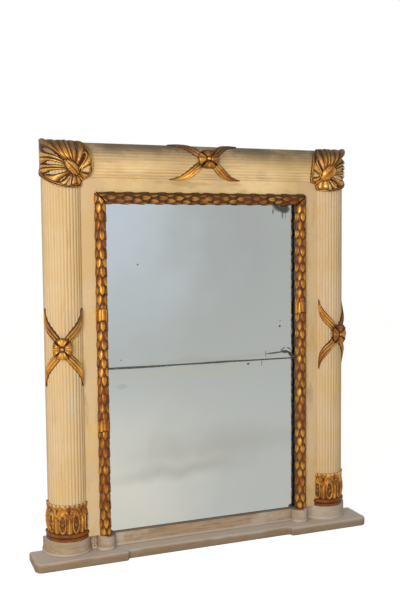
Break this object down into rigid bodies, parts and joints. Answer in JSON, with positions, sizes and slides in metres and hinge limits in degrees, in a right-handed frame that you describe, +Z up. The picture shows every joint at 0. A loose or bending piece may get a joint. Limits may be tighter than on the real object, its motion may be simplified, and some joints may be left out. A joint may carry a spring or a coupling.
{
  "type": "overmantel mirror",
  "caption": "Upright Regency style overmantel mirror with reeded half-round columns, gilt corner palmettes, crossed leaves and a jointed old plate on a grey breakfront base.",
  "frame": {"origin": "centre of the bounding box on the plane that the base board stands on", "axes": "+Z up, +Y towards the wall, the mirror faces -Y, +X to the right as seen from the front"},
  "size_m": [1.425, 0.159, 1.622],
  "materials": {
    "cream_paint": "aged cream oil paint on pine",
    "gilding": "worn water gilding on carved wood",
    "red_bole": "rubbed bole on turned wood",
    "plinth_paint": "distressed grey paint on pine",
    "pine": "old sawn pine",
    "oak": "riven oak",
    "mirror_plate": "old foxed mirror plate",
    "brass": "tarnished brass",
    "screw_steel": "dull steel",
    "nail_iron": "cut iron"
  },
  "bodies": {
    "root": {"backboard_1": "pine", "backboard_2": "pine", "backboard_3": "pine", "backboard_4": "pine", "backboard_5": "pine", "backboard_nails": "nail_iron", "base_board": "plinth_paint", "base_screws": "screw_steel", "bottom_back_rail": "pine", "column_screws": "screw_steel", "corner_blocks": "pine", "glazing_slips": "pine", "hanger_screws": "screw_steel", "left_back_stile": "pine", "left_bole_ring": "red_bole", "left_capital": "gilding", "left_column": "cream_paint", "left_corner_palmette": "gilding", "left_crossed_leaves": "gilding", "left_frieze_stile": "cream_paint", "left_hanger_strap": "brass", "left_leaf_moulding": "gilding", "left_patera": "gilding", "left_plinth_block": "plinth_paint", "left_small_block": "plinth_paint", "lower_mirror_plate": "mirror_plate", "plinth_rail": "plinth_paint", "right_back_stile": "pine", "right_bole_ring": "red_bole", "right_capital": "gilding", "right_column": "cream_paint", "right_corner_palmette": "gilding", "right_crossed_leaves": "gilding", "right_frieze_stile": "cream_paint", "right_hanger_strap": "brass", "right_leaf_moulding": "gilding", "right_patera": "gilding", "right_plinth_block": "plinth_paint", "right_small_block": "plinth_paint", "tenon_pegs": "oak", "top_back_rail": "pine", "top_crossed_leaves": "gilding", "top_frieze_rail": "cream_paint", "top_leaf_moulding": "gilding", "top_member": "cream_paint", "top_member_screws": "screw_steel", "top_patera": "gilding", "upper_mirror_plate": "mirror_plate"},
    "left_ring": {"left_hanger_ring": "brass"},
    "right_ring": {"right_hanger_ring": "brass"}
  },
  "joints": [
    {"name": "left_ring_swing", "type": "hinge", "parent": "root", "child": "left_ring", "pos_m": [-0.5075, 0.0745, 1.27], "axis": [1, 0, 0], "range_deg": [0, 165]},
    {"name": "right_ring_swing", "type": "hinge", "parent": "root", "child": "right_ring", "pos_m": [0.5075, 0.0745, 1.27], "axis": [1, 0, 0], "range_deg": [0, 165]}
  ]
}
